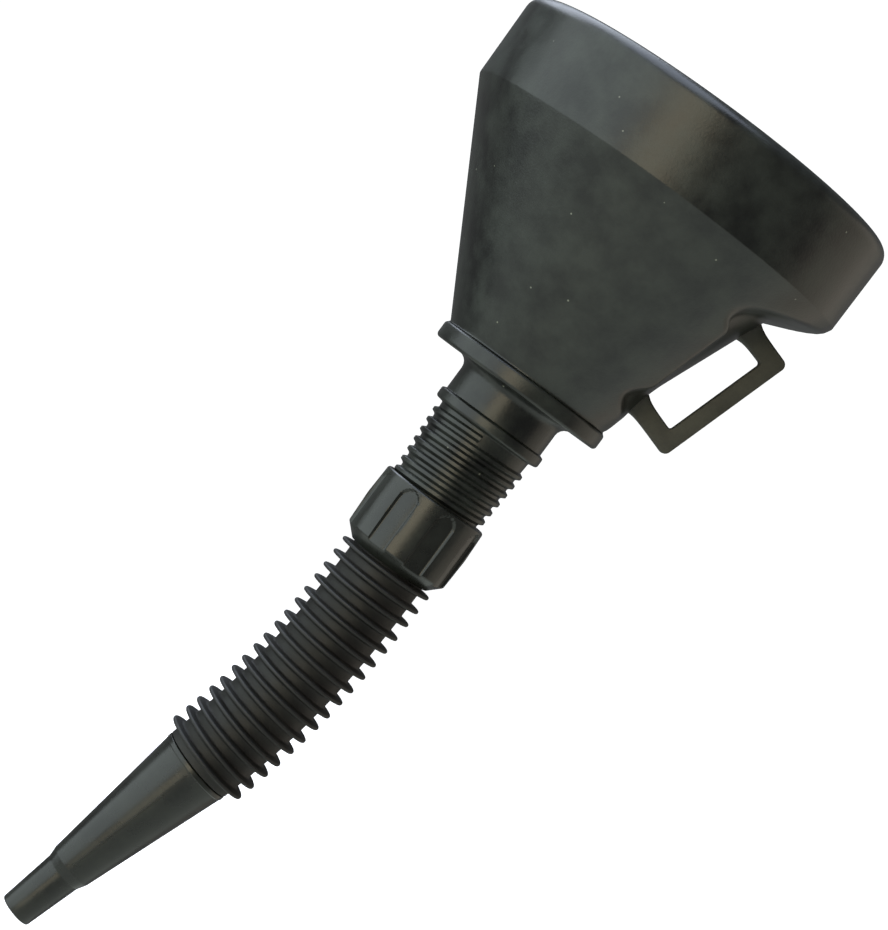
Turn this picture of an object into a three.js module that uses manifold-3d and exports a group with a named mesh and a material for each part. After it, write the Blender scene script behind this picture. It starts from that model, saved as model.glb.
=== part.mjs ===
// Funnel for oil and fuel: a wide bowl with a side handle and a threaded outlet, a strainer that lifts
// out, a coupling nut, and a bendable spout of bellows and nozzle.
// Millimetres, +Z up out of the mouth, origin on the bowl's axis at the underside of its collar.
// The handle is on +X, and the spout is bent towards -X in the XZ plane.
import * as THREE from "three";
import { mergeVertices } from "three/addons/utils/BufferGeometryUtils.js";
import Module from "manifold-3d";

const wasm = await Module();
wasm.setup();

// ---- Driving dimensions ----

const CLEARANCE = 0.3; // between pieces that seat on each other

// Bowl
const WALL = 2;
const MOUTH_RADIUS = 80; // outside of the band at the lip
const BAND_DRAFT = 0.5; // how much narrower the band is at its foot
const BAND_HEIGHT = 34.6; // crease to lip
const LIP_ROUND = 5.5; // the lip turns inwards on this radius
const LIP_FLAT = 3; // flat top of the lip, inwards of the round
const CONE_HEIGHT = 79.6; // collar to crease
const CONE_FOOT_RADIUS = 34.3;
const COLLAR_HEIGHT = 6.8;
const COLLAR_STANDOUT = 1.6; // collar's outside beyond the cone's foot
const COLLAR_ROUND = 1;
const FLOOR = 2.2; // floor thickness inside the collar

// Hand pocket pressed into the cone behind the handle. Points are [x, z] from the cone's foot.
const POCKET_START = 2; // height of its lower end
const POCKET_FOOT = [3.3, 19.7]; // where the flank's lean changes
const POCKET_FLANK_LEAN = 16; // degrees from the axis
const POCKET_FOOT_LEAN = 7;
const LEDGE_DROP = 2.2; // crease down to the ledge above the pocket, at the band
const LEDGE_RISE = 32.7; // degrees above level
const KNUCKLE_LEAN = 22.1; // the rounded back of the pocket is a steeper cone
const KNUCKLE_FOOT = [5.3, 21.8]; // a point on it
const KNUCKLE_BULGE = [3.1, 9]; // where its rounded foot starts

// Handle: a flat loop with square legs, leaning with the cone and measured from the cone's foot
const HANDLE_LEAN = 17.5; // degrees from the axis
const HANDLE_LOW = 13.2; // up to its lower leg, along the bar
const HANDLE_LENGTH = 55.9;
const HANDLE_REACH = 20.33; // out to the outside of the bar, square to the bar
const BAR_WIDTH = 6.6;
const LEG_WIDTH = 7.6;
const HANDLE_DEPTH = 8;
const HANDLE_CORNER = 3.5;

// Outlet neck and its thread
const NECK_RADIUS = 21.2;
const NECK_FILLET = 4;
const NECK_LENGTH = 66;
const NECK_TOP_WALL = 4.2;
const NECK_END_WALL = 1.7; // under the thread
const BEAD_TOP_Z = -13.2;
const BEAD_HEIGHT = 4.5;
const BEAD_STANDOUT = 1.6; // stop bead's outside beyond the neck
const BEAD_ROUND = 1;
const THREAD_TOP_Z = -21;
const THREAD_PITCH = 4.25;
const THREAD_INSET = 0.3; // neck's outside beyond the thread's start
const THREAD_TAPER = 0.0573; // radius lost per millimetre
const THREAD_DEPTH = 1.6;
const THREAD_CREST = 1.2; // width of the thread's flat crest
const THREAD_ROOT = 3.1; // width of the thread where it leaves the neck
const THREAD_SINK = 0.6; // how deep the thread's foot is set in the neck

// Strainer
const STRAINER_HEIGHT = 3.2;
const STRAINER_RIM_WIDTH = 4.4;
const GAUZE_THICKNESS = 0.8;

// Coupling nut
const NUT_GRIP = 17.4; // how far the nut reaches up over the neck
const NUT_LENGTH = 29.4;
const NUT_WALL = 1.63; // at its top edge
const NUT_BULGE = 0.5; // how much wider it is half way up
const NUT_CHAMFER = 4.6;
const NUT_TOP_ROUND = 1.1;
const NUT_LAND = 0.9; // flat ring at its foot
const NUT_PLAY = 0.45; // between its bore and the thread's crests
const HOLE_PLAY = 0.4; // between its hole and the bellows
const NUT_FLUTES = 8;
const FLUTE_DEPTH = 1.4;
const FLUTE_ANGLE = 23; // degrees at the nut's surface
const FLUTE_FLOOR_ANGLE = 16;
const FLUTE_TOP_GAP = 1.4; // nut's top edge to the top of each flute

// Bellows
const CRESTS = 17;
const PITCH = 6;
const CREST_DEPTH = 4.1; // valley to crest
const CREST_ROUND = 0.7;
const CREST_EDGE = 0.4; // how far the crest's edge is rounded back
const BELLOWS_SIDE = 1.6; // valley's outside to the bore
const SLEEVE_WALL = 1;
const SOCKET_WALL = 0.8;
const WEB_THICKNESS = 0.8; // of the ring that joins sleeve and socket to the crest
const FLANGE_EDGE = 2.3; // thickness of the flange at its rim
const FLANGE_RUN = 3.3; // height of its conical underside
const FLANGE_LEDGE = 3.02; // rim to the valley's outside
const FIRST_CREST_DROP = 2; // nut's foot to the first crest
const SOCKET_LAP = 0.45; // how far each socket and sleeve pass the middle between crests
const SLEEVE_LAP = 0.6;
const SOCKET_SLACK = 0.8; // between a sleeve and the socket round it
const SPOUT_BEND = 15; // degrees, as the spout is set
const BEND_GROWTH = 1.3; // the bend gets tighter towards the nozzle

// Nozzle
const NOZZLE_LENGTH = 86.6;
const NOZZLE_GAP = 4.4; // last crest to the nozzle's top edge
const NOZZLE_COLLAR = 1.8;
const NOZZLE_TAPER_LENGTH = 59.9;
const NOZZLE_TAPER_END_RADIUS = 9.24;
const NOZZLE_COLLAR_STEP = 0.2;
const NOZZLE_TOP_WALL = 1.7;
const SHOULDER_HEIGHT = 3.8;
const SHOULDER_STEP = 1.2; // how much the radius drops at the shoulder
const SHOULDER_ROUND = 0.25;
const TIP_TAPER = 1.2; // how much the radius drops along the tip
const TIP_WALL = 1.54;
const SPIGOT_LENGTH = 7.6; // how far the bellows reach into the nozzle
const SPIGOT_WALL = 1.1;

const ROUND_STEPS = 40; // facets round the bowl
const SMALL_STEPS = 24; // facets round the neck, the nut and the nozzle
const BELLOWS_STEPS = 16;
const THREAD_STEPS = 12; // to each turn of the thread

// ---- Values worked out from them ----

const COLLAR_TOP_Z = COLLAR_HEIGHT;
const COLLAR_RADIUS = CONE_FOOT_RADIUS + COLLAR_STANDOUT;
const CREASE_Z = COLLAR_HEIGHT + CONE_HEIGHT;
const LIP_Z = CREASE_Z + BAND_HEIGHT;
const CREASE_RADIUS = MOUTH_RADIUS - BAND_DRAFT;
const CONE_SLOPE = (CREASE_RADIUS - CONE_FOOT_RADIUS) / CONE_HEIGHT;
const CONE_WALL_ACROSS = WALL * Math.hypot(1, CONE_SLOPE); // wall measured along the radius
const STRAINER_SEAT_RADIUS = CONE_FOOT_RADIUS - CONE_WALL_ACROSS;
const THREAD_TOP_RADIUS = NECK_RADIUS - THREAD_INSET;
const BEAD_RADIUS = NECK_RADIUS + BEAD_STANDOUT;
const BORE_TOP_RADIUS = NECK_RADIUS - NECK_TOP_WALL;
const BORE_END_RADIUS = threadRadius(-NECK_LENGTH) - THREAD_DEPTH - NECK_END_WALL;
const NECK_SEAT_RADIUS = NECK_RADIUS + NECK_FILLET + CLEARANCE; // recess in the collar's underside
const FLANGE_TOP_Z = -NECK_LENGTH - CLEARANCE;
const FLANGE_RADIUS = threadRadius(-NECK_LENGTH);
const VALLEY_RADIUS = FLANGE_RADIUS - FLANGE_LEDGE;
const CREST_RADIUS = VALLEY_RADIUS + CREST_DEPTH;
const BELLOWS_BORE = VALLEY_RADIUS - BELLOWS_SIDE;
const NUT_TOP_Z = NUT_GRIP - NECK_LENGTH;
const NUT_END_Z = NUT_TOP_Z - NUT_LENGTH;
const NUT_HOLE_RADIUS = VALLEY_RADIUS + HOLE_PLAY;
const NUT_BORE_RADIUS = threadRadius(NUT_TOP_Z) + NUT_PLAY;
const NUT_TOP_RADIUS = NUT_BORE_RADIUS + NUT_WALL;
const NUT_RADIUS = NUT_TOP_RADIUS + NUT_BULGE;
const NUT_SEAT_RADIUS = FLANGE_RADIUS + NUT_PLAY;
const NUT_SEAT_Z = FLANGE_TOP_Z - FLANGE_EDGE - 2 * CLEARANCE;
const FIRST_CREST_Z = NUT_END_Z - FIRST_CREST_DROP;
const SLEEVE_RADIUS = BELLOWS_BORE + SLEEVE_WALL;
const SOCKET_BORE = SLEEVE_RADIUS + SOCKET_SLACK;
const SOCKET_RADIUS = SOCKET_BORE + SOCKET_WALL;
const TIP_RADIUS = NOZZLE_TAPER_END_RADIUS - SHOULDER_STEP;
const TIP_END_RADIUS = TIP_RADIUS - TIP_TAPER;
const TIP_BORE_RADIUS = TIP_END_RADIUS - TIP_WALL;
const NOZZLE_BORE_TOP = VALLEY_RADIUS - NOZZLE_TOP_WALL;
const SPIGOT_RADIUS = NOZZLE_BORE_TOP - CLEARANCE;

const degrees = THREE.MathUtils.degToRad;

function threadRadius(z) {
  return THREAD_TOP_RADIUS + THREAD_TAPER * (z - THREAD_TOP_Z);
}

// ---- Tools ----

// Points on an arc about [x, y], angles in degrees.
function arc([x, y], radius, from, to, steps) {
  const points = [];
  for (let i = 0; i <= steps; i++) {
    const angle = degrees(from + ((to - from) * i) / steps);
    points.push([x + radius * Math.cos(angle), y + radius * Math.sin(angle)]);
  }
  return points;
}

// Turns a closed outline of [radius, z] points, counterclockwise, about the Z axis.
function revolve(outline, steps) {
  const closed = [...outline, outline[0]];
  const points = closed.map(([radius, z]) => new THREE.Vector2(radius, z));
  return new THREE.LatheGeometry(points, steps).rotateX(Math.PI / 2);
}

// A prism with an outline of [x, z] points, and its depth centred on y = 0.
function prismAlongY(shape, depth) {
  const geometry = new THREE.ExtrudeGeometry(shape, { depth, bevelEnabled: false, curveSegments: 4 });
  return geometry.rotateX(Math.PI / 2).translate(0, depth / 2, 0);
}

function shapeOf(points) {
  return new THREE.Shape(points.map(([x, y]) => new THREE.Vector2(x, y)));
}

// An outline with its corners turned into arcs.
function roundedShape(corners) {
  const points = corners.flatMap(({ at, round }, i) => {
    const before = corners[(i + corners.length - 1) % corners.length].at;
    const after = corners[(i + 1) % corners.length].at;
    return round ? cornerArc(at, before, after, round) : [at];
  });
  return shapeOf(points);
}

// Points that replace a corner by a curve which starts and ends at the given distance from it.
function cornerArc(at, before, after, distance) {
  const corner = new THREE.Vector2(...at);
  const start = new THREE.Vector2(...before).sub(corner).setLength(distance).add(corner);
  const end = new THREE.Vector2(...after).sub(corner).setLength(distance).add(corner);
  return new THREE.QuadraticBezierCurve(start, corner, end).getPoints(4).map((p) => [p.x, p.y]);
}

function solid(geometry) {
  const bare = geometry.clone();
  bare.deleteAttribute("normal");
  bare.deleteAttribute("uv");
  const merged = mergeVertices(bare, 1e-4);
  return new wasm.Manifold(
    new wasm.Mesh({
      numProp: 3,
      vertProperties: new Float32Array(merged.attributes.position.array),
      triVerts: new Uint32Array(merged.index.array),
    }),
  );
}

function geometryOf(manifold) {
  const mesh = manifold.getMesh();
  const geometry = new THREE.BufferGeometry();
  geometry.setAttribute("position", new THREE.BufferAttribute(mesh.vertProperties, 3));
  geometry.setIndex(new THREE.BufferAttribute(mesh.triVerts, 1));
  geometry.computeVertexNormals();
  return geometry;
}

function piece(name, geometry, material) {
  const mesh = new THREE.Mesh(geometry, new THREE.MeshStandardMaterial(material));
  mesh.name = name;
  return mesh;
}

const TEXTURED_BLACK = { color: 0x3a3f3b, roughness: 0.62, metalness: 0 };
const SMOOTH_BLACK = { color: 0x40453f, roughness: 0.38, metalness: 0 };
const SOFT_BLACK = { color: 0x272725, roughness: 0.7, metalness: 0 };
const BRASS = { color: 0xb08d4a, roughness: 0.35, metalness: 1 };

// ---- Bowl ----

// Moves an open line of [x, z] points sideways, towards smaller x and larger z.
function offsetLine(points, distance) {
  const sides = points.slice(1).map((to, i) => {
    const [x, z] = points[i];
    const length = Math.hypot(to[0] - x, to[1] - z);
    return { across: [-(to[1] - z) / length, (to[0] - x) / length] };
  });
  return points.map(([x, z], i) => {
    const a = sides[Math.max(i - 1, 0)].across;
    const b = sides[Math.min(i, sides.length - 1)].across;
    const scale = distance / (1 + a[0] * b[0] + a[1] * b[1]);
    return [x + (a[0] + b[0]) * scale, z + (a[1] + b[1]) * scale];
  });
}

// The pocket's flank and ledge as one open line, from its foot to outside the band.
function pocketLine() {
  const [footX, footZ] = fromConeFoot(POCKET_FOOT);
  const startZ = COLLAR_TOP_Z + POCKET_START;
  const startX = footX - (footZ - startZ) * Math.tan(degrees(POCKET_FOOT_LEAN));
  const lean = Math.tan(degrees(POCKET_FLANK_LEAN));
  const rise = Math.tan(degrees(LEDGE_RISE));
  const ledgeZ = CREASE_Z - LEDGE_DROP;
  // The flank meets the ledge where z is the same on both.
  const cornerX = (footX + lean * (ledgeZ - rise * CREASE_RADIUS - footZ)) / (1 - lean * rise);
  const cornerZ = ledgeZ + rise * (cornerX - CREASE_RADIUS);
  const outerX = CREASE_RADIUS + BAND_HEIGHT;
  const outerZ = ledgeZ + rise * BAND_HEIGHT;
  return [[startX, startZ], [footX, footZ], [cornerX, cornerZ], [outerX, outerZ]];
}

function fromConeFoot([x, z]) {
  return [CONE_FOOT_RADIUS + x, COLLAR_TOP_Z + z];
}

function pocketCutter(inset) {
  const line = offsetLine(pocketLine(), inset);
  const outerX = line[line.length - 1][0];
  const startZ = COLLAR_TOP_Z + POCKET_START - inset;
  const start = [line[0][0], startZ];
  return solid(prismAlongY(shapeOf([start, ...line.slice(1), [outerX, startZ]]), 4 * MOUTH_RADIUS));
}

// The steeper cone at the back of the pocket.
function knuckle(inset) {
  const slope = Math.tan(degrees(KNUCKLE_LEAN));
  const across = inset * Math.hypot(1, slope);
  const [x, z] = fromConeFoot(KNUCKLE_FOOT);
  const [bulgeX, bulgeZ] = fromConeFoot(KNUCKLE_BULGE);
  const topZ = CREASE_Z - LEDGE_DROP;
  const outline = [
    [0, COLLAR_TOP_Z],
    [CONE_FOOT_RADIUS - across, COLLAR_TOP_Z],
    [bulgeX - across, bulgeZ],
    [x - across, z],
    [x + slope * (topZ - z) - across, topZ],
    [0, topZ],
  ];
  return solid(revolve(outline, ROUND_STEPS));
}

// The bowl's outside as a full body, grown by a gap where another piece is cut against it.
function bowlOutside(gap) {
  const round = COLLAR_ROUND;
  const outline = [
    [0, -gap],
    [COLLAR_RADIUS - round + gap, -gap],
    [COLLAR_RADIUS + gap, round],
    [COLLAR_RADIUS + gap, COLLAR_TOP_Z - round],
    [COLLAR_RADIUS - round + gap, COLLAR_TOP_Z],
    [CONE_FOOT_RADIUS + gap, COLLAR_TOP_Z],
    [CREASE_RADIUS + gap, CREASE_Z - gap],
    ...arc([MOUTH_RADIUS - LIP_ROUND, LIP_Z - LIP_ROUND], LIP_ROUND + gap, 0, 90, 4),
    [0, LIP_Z + gap],
  ];
  const full = solid(revolve(outline, ROUND_STEPS));
  return full.subtract(pocketCutter(-gap)).add(knuckle(-gap));
}

function bowlCavity() {
  const lipInside = MOUTH_RADIUS - LIP_ROUND - LIP_FLAT;
  const bandFoot = CREASE_RADIUS - WALL;
  const innerCreaseZ = CREASE_Z - (bandFoot - (CREASE_RADIUS - CONE_WALL_ACROSS)) / CONE_SLOPE;
  const above = LIP_Z + WALL;
  const outline = [
    [0, FLOOR],
    [STRAINER_SEAT_RADIUS, FLOOR],
    [STRAINER_SEAT_RADIUS, COLLAR_TOP_Z],
    [bandFoot, innerCreaseZ],
    ...arc([MOUTH_RADIUS - LIP_ROUND, LIP_Z - LIP_ROUND], LIP_ROUND - WALL, 0, 90, 4),
    [lipInside, LIP_Z - WALL],
    [lipInside, above],
    [0, above],
  ];
  const full = solid(revolve(outline, ROUND_STEPS));
  return full.subtract(pocketCutter(WALL)).add(knuckle(WALL).intersect(full));
}

// The way out through the floor, and the shallow recess that the neck's top is seated in.
function outletHole() {
  const below = -WALL;
  const above = FLOOR + WALL;
  const outline = [
    [0, below],
    [NECK_SEAT_RADIUS, below],
    [NECK_SEAT_RADIUS, CLEARANCE],
    [BORE_TOP_RADIUS, CLEARANCE],
    [BORE_TOP_RADIUS, above],
    [0, above],
  ];
  return solid(revolve(outline, SMALL_STEPS));
}

function bowl() {
  const shell = bowlOutside(0).subtract(bowlCavity()).subtract(outletHole());
  return piece("bowl", geometryOf(shell), TEXTURED_BLACK);
}

// ---- Handle ----

// The loop lies in a plane through the axis. Its legs run into the cone, which cuts them off.
function handle() {
  const top = HANDLE_LOW + HANDLE_LENGTH;
  const root = HANDLE_REACH - CONE_FOOT_RADIUS;
  const inner = HANDLE_REACH - BAR_WIDTH;
  const innerRound = HANDLE_CORNER / 2;
  const shape = roundedShape([
    { at: [root, HANDLE_LOW] },
    { at: [HANDLE_REACH, HANDLE_LOW], round: HANDLE_CORNER },
    { at: [HANDLE_REACH, top], round: HANDLE_CORNER },
    { at: [root, top] },
    { at: [root, top - LEG_WIDTH] },
    { at: [inner, top - LEG_WIDTH], round: innerRound },
    { at: [inner, HANDLE_LOW + LEG_WIDTH], round: innerRound },
    { at: [root, HANDLE_LOW + LEG_WIDTH] },
  ]);
  const loop = prismAlongY(shape, HANDLE_DEPTH).rotateY(degrees(HANDLE_LEAN));
  loop.translate(CONE_FOOT_RADIUS, 0, COLLAR_TOP_Z);
  return piece("handle", geometryOf(solid(loop).subtract(bowlOutside(CLEARANCE))), TEXTURED_BLACK);
}

// ---- Outlet neck ----

// A ridge that winds down the neck. It starts and ends square, on the side that faces -Y.
function threadRidge() {
  const turns = (NECK_LENGTH + THREAD_TOP_Z - THREAD_ROOT / 2 - CLEARANCE) / THREAD_PITCH;
  const steps = Math.floor(turns * THREAD_STEPS);
  const positions = [];
  const indices = [];
  for (let i = 0; i <= steps; i++) {
    const angle = -Math.PI / 2 - (2 * Math.PI * i) / THREAD_STEPS;
    const z = THREAD_TOP_Z - (THREAD_PITCH * i) / THREAD_STEPS;
    const crest = threadRadius(z);
    const foot = crest - THREAD_DEPTH - THREAD_SINK;
    const section = [
      [foot, -THREAD_ROOT / 2],
      [crest, -THREAD_CREST / 2],
      [crest, THREAD_CREST / 2],
      [foot, THREAD_ROOT / 2],
    ];
    for (const [radius, dz] of section) {
      positions.push(radius * Math.cos(angle), radius * Math.sin(angle), z + dz);
    }
  }
  for (let i = 0; i < steps; i++) {
    for (let side = 0; side < 4; side++) {
      const a = 4 * i + side;
      const b = 4 * i + ((side + 1) % 4);
      indices.push(a, b, b + 4, a, b + 4, a + 4);
    }
  }
  const last = 4 * steps;
  indices.push(0, 2, 1, 0, 3, 2, last, last + 1, last + 2, last, last + 2, last + 3);
  const geometry = new THREE.BufferGeometry();
  geometry.setAttribute("position", new THREE.Float32BufferAttribute(positions, 3));
  geometry.setIndex(indices);
  return geometry;
}

function outletNeck() {
  const filletCentre = [NECK_RADIUS + NECK_FILLET, -NECK_FILLET];
  const beadEndZ = BEAD_TOP_Z - BEAD_HEIGHT;
  const rootTopZ = beadEndZ - BEAD_ROUND;
  const core = solid(
    revolve(
      [
        [BORE_TOP_RADIUS, 0],
        [BORE_END_RADIUS, -NECK_LENGTH],
        [threadRadius(-NECK_LENGTH) - THREAD_DEPTH, -NECK_LENGTH],
        [threadRadius(rootTopZ) - THREAD_DEPTH, rootTopZ],
        [BEAD_RADIUS - BEAD_ROUND, beadEndZ],
        [BEAD_RADIUS, beadEndZ + BEAD_ROUND],
        [BEAD_RADIUS, BEAD_TOP_Z - BEAD_ROUND],
        [NECK_RADIUS, BEAD_TOP_Z],
        ...arc(filletCentre, NECK_FILLET, 180, 90, 4),
      ],
      SMALL_STEPS,
    ),
  );
  return piece("outlet_neck", geometryOf(core.add(solid(threadRidge()))), SMOOTH_BLACK);
}

// ---- Strainer ----

function strainer() {
  const seatZ = FLOOR + CLEARANCE;
  const topZ = seatZ + STRAINER_HEIGHT;
  const outside = STRAINER_SEAT_RADIUS - 2 * CLEARANCE;
  const inside = outside - STRAINER_RIM_WIDTH;
  const middleZ = (seatZ + topZ) / 2;
  const halfSlot = GAUZE_THICKNESS / 2 + CLEARANCE;
  const slotRadius = outside - STRAINER_RIM_WIDTH / 2;
  const rim = revolve(
    [
      [inside, seatZ],
      [outside, seatZ],
      [outside, topZ],
      [inside, topZ],
      [inside, middleZ + halfSlot],
      [slotRadius, middleZ + halfSlot],
      [slotRadius, middleZ - halfSlot],
      [inside, middleZ - halfSlot],
    ],
    ROUND_STEPS,
  );
  const gauzeRadius = slotRadius - CLEARANCE;
  const halfGauze = GAUZE_THICKNESS / 2;
  const gauze = revolve(
    [
      [0, middleZ - halfGauze],
      [gauzeRadius, middleZ - halfGauze],
      [gauzeRadius, middleZ + halfGauze],
      [0, middleZ + halfGauze],
    ],
    ROUND_STEPS,
  );
  const group = new THREE.Group();
  group.add(piece("strainer_rim", rim, SMOOTH_BLACK), piece("strainer_gauze", gauze, BRASS));
  return group;
}

// ---- Coupling nut ----

// One flute as a bar, wider at the nut's surface than at its floor.
function fluteCutter(angle) {
  const floorRadius = NUT_RADIUS - FLUTE_DEPTH;
  const outRadius = NUT_RADIUS + FLUTE_DEPTH;
  const halfFloor = FLUTE_FLOOR_ANGLE / 2;
  const halfOut = FLUTE_ANGLE - halfFloor;
  const outline = [
    ...arc([0, 0], floorRadius, -halfFloor, halfFloor, 2),
    ...arc([0, 0], outRadius, halfOut, -halfOut, 2),
  ];
  const bar = new THREE.ExtrudeGeometry(shapeOf(outline), { depth: NUT_LENGTH, bevelEnabled: false });
  bar.rotateZ(angle).translate(0, 0, NUT_TOP_Z - FLUTE_TOP_GAP - NUT_LENGTH);
  return solid(bar);
}

function couplingNut() {
  const chamferTopZ = NUT_END_Z + NUT_CHAMFER;
  const bodyMiddleZ = (NUT_TOP_Z + chamferTopZ) / 2;
  const outline = [
    [NUT_HOLE_RADIUS, NUT_END_Z],
    [NUT_HOLE_RADIUS + NUT_LAND, NUT_END_Z],
    [NUT_TOP_RADIUS, chamferTopZ],
    [NUT_RADIUS, bodyMiddleZ],
    [NUT_TOP_RADIUS, NUT_TOP_Z - NUT_TOP_ROUND],
    [NUT_TOP_RADIUS - NUT_TOP_ROUND, NUT_TOP_Z],
    [NUT_BORE_RADIUS, NUT_TOP_Z],
    [NUT_SEAT_RADIUS, FLANGE_TOP_Z],
    [NUT_SEAT_RADIUS, NUT_SEAT_Z],
    [NUT_HOLE_RADIUS, NUT_SEAT_Z - FLANGE_RUN],
  ];
  let nut = solid(revolve(outline, 2 * SMALL_STEPS));
  for (let i = 0; i < NUT_FLUTES; i++) {
    nut = nut.subtract(fluteCutter((2 * Math.PI * (i + 0.5)) / NUT_FLUTES));
  }
  return piece("coupling_nut", geometryOf(nut), SMOOTH_BLACK);
}

// ---- Bellows ----

// The flange that the nut clamps against the end of the neck.
function spoutFlange() {
  const edgeZ = FLANGE_TOP_Z - FLANGE_EDGE;
  const endZ = edgeZ - FLANGE_RUN;
  const outline = [
    [BELLOWS_BORE, endZ],
    [VALLEY_RADIUS, endZ],
    [FLANGE_RADIUS, edgeZ],
    [FLANGE_RADIUS, FLANGE_TOP_Z],
    [BELLOWS_BORE, FLANGE_TOP_Z],
  ];
  return piece("spout_flange", revolve(outline, SMALL_STEPS), SOFT_BLACK);
}

// Each convolution is a fin with a socket above and a sleeve below. The sleeve of one reaches into the
// socket of the next, like a ball joint, so the wall stays closed while the bellows bend.
const HALF_WEB = WEB_THICKNESS / 2;
const SOCKET_TOP = PITCH / 2 + SOCKET_LAP;
const SLEEVE_END = -PITCH / 2 - SLEEVE_LAP;
const FIN = [
  [CREST_RADIUS - CREST_EDGE, -CREST_ROUND],
  [CREST_RADIUS, 0],
  [CREST_RADIUS - CREST_EDGE, CREST_ROUND],
];
const SLEEVE = [
  [BELLOWS_BORE, SLEEVE_END],
  [SLEEVE_RADIUS, SLEEVE_END],
  [SLEEVE_RADIUS, -HALF_WEB],
  [SOCKET_RADIUS + CREST_ROUND, -HALF_WEB],
];
const SOCKET = [
  [SOCKET_RADIUS + HALF_WEB, CREST_ROUND],
  [SOCKET_RADIUS, SOCKET_TOP],
  [SOCKET_BORE, SOCKET_TOP],
  [SOCKET_BORE, HALF_WEB],
];

function bellowsCuff() {
  const topZ = FLANGE_TOP_Z - FLANGE_EDGE - FLANGE_RUN - CLEARANCE - FIRST_CREST_Z;
  const tube = [[VALLEY_RADIUS, CREST_ROUND], [VALLEY_RADIUS, topZ], [BELLOWS_BORE, topZ]];
  return piece("bellows_cuff", revolve([...SLEEVE, ...FIN, ...tube], BELLOWS_STEPS), SOFT_BLACK);
}

function convolution(number) {
  const name = `convolution_${String(number).padStart(2, "0")}`;
  const outline = [...SLEEVE, ...FIN, ...SOCKET, [BELLOWS_BORE, HALF_WEB]];
  return piece(name, revolve(outline, BELLOWS_STEPS), SOFT_BLACK);
}

// The last crest, with the plain end that is pushed into the nozzle.
function bellowsEndCuff() {
  const wallEnd = CLEARANCE - NOZZLE_GAP;
  const bore = SPIGOT_RADIUS - SPIGOT_WALL;
  const outline = [
    [bore, wallEnd - SPIGOT_LENGTH],
    [SPIGOT_RADIUS, wallEnd - SPIGOT_LENGTH],
    [SPIGOT_RADIUS, wallEnd],
    [VALLEY_RADIUS, wallEnd],
    [VALLEY_RADIUS, -2 * CREST_ROUND],
    ...FIN,
    ...SOCKET,
    [bore, HALF_WEB],
  ];
  return piece("bellows_end_cuff", revolve(outline, BELLOWS_STEPS), SOFT_BLACK);
}

// ---- Nozzle ----

function nozzle() {
  const topZ = -NOZZLE_GAP;
  const endZ = topZ - NOZZLE_LENGTH;
  const taperEndZ = topZ - NOZZLE_TAPER_LENGTH;
  const tipTopZ = taperEndZ - SHOULDER_HEIGHT;
  const neckRadius = VALLEY_RADIUS - NOZZLE_COLLAR_STEP;
  const shoulderRadius = (TIP_RADIUS + NOZZLE_TAPER_END_RADIUS) / 2 + SHOULDER_ROUND;
  const outline = [
    [TIP_BORE_RADIUS, endZ],
    [TIP_END_RADIUS, endZ],
    [TIP_RADIUS, tipTopZ],
    [shoulderRadius, taperEndZ - SHOULDER_HEIGHT / 2],
    [NOZZLE_TAPER_END_RADIUS, taperEndZ],
    [neckRadius, topZ - NOZZLE_COLLAR - NOZZLE_COLLAR_STEP],
    [VALLEY_RADIUS, topZ - NOZZLE_COLLAR],
    [VALLEY_RADIUS, topZ],
    [NOZZLE_BORE_TOP, topZ],
    [NOZZLE_BORE_TOP, topZ - SPIGOT_LENGTH - 2 * CLEARANCE],
    [NOZZLE_TAPER_END_RADIUS - TIP_WALL, taperEndZ],
    [TIP_RADIUS - TIP_WALL, tipTopZ],
  ];
  return piece("nozzle", revolve(outline, SMALL_STEPS), SMOOTH_BLACK);
}

// ---- Spout: each crest hangs from the one above on a hinge half way between them ----

function inPlaneHinges() {
  return Math.ceil((CRESTS - 1) / 2);
}

// Bend of the hinge above a crest. Every other hinge bends in the XZ plane, and the rest bend across it.
function restBend(crest) {
  if (crest % 2) return 0;
  const count = inPlaneHinges();
  const hinge = crest / 2;
  return SPOUT_BEND * ((hinge / count) ** BEND_GROWTH - ((hinge - 1) / count) ** BEND_GROWTH);
}

function spout() {
  const group = new THREE.Group();
  group.add(spoutFlange());
  let above = new THREE.Group();
  above.position.z = FIRST_CREST_Z;
  above.add(bellowsCuff());
  group.add(above);
  for (let crest = 2; crest <= CRESTS; crest++) {
    const hinge = new THREE.Group();
    hinge.position.z = -PITCH / 2;
    hinge.rotation.y = degrees(restBend(crest));
    above.add(hinge);
    above = new THREE.Group();
    above.position.z = -PITCH / 2;
    hinge.add(above);
    if (crest < CRESTS) above.add(convolution(crest));
  }
  above.add(bellowsEndCuff(), nozzle());
  return group;
}

const funnel = new THREE.Group();
funnel.add(bowl(), handle(), outletNeck(), strainer(), couplingNut(), spout());

export default funnel;
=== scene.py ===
"""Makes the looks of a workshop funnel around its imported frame: a moulded bowl with a hand grip and a
threaded outlet, a strainer, a coupling nut, and a spout of bellows and nozzle. Metres, +Z out of the mouth.
"""

import math

import bmesh
import bpy
from bpy.props import FloatProperty, FloatVectorProperty, IntProperty, PointerProperty
from mathutils import Matrix, Vector


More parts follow.
